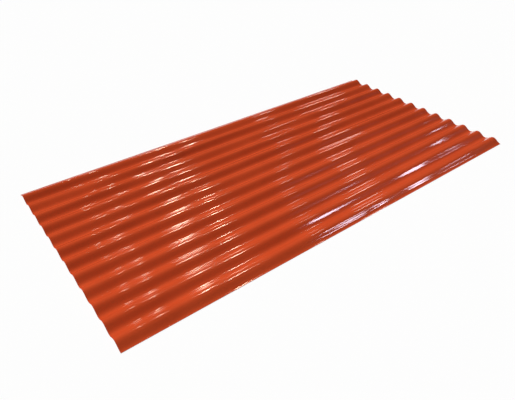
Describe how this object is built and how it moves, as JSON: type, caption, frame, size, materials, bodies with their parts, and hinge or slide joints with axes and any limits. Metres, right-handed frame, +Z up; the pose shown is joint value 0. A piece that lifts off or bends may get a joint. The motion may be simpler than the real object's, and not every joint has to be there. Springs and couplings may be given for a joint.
{
  "type": "corrugated roofing sheet",
  "caption": "Glossy terracotta corrugated plastic roofing sheet with rounded parallel waves, laid flat.",
  "frame": {"origin": "on the floor under the middle of the sheet, below the trough on the centre line", "axes": "+X along the corrugations, +Y across the sheet, +Z up out of the weather face"},
  "size_m": [1.8288, 0.9144, 0.018],
  "materials": {
    "terracotta_plastic": "smooth glossy extruded plastic, opaque terracotta red, both faces alike"
  },
  "bodies": {
    "root": {"corrugated_sheet": "terracotta_plastic"}
  },
  "joints": []
}
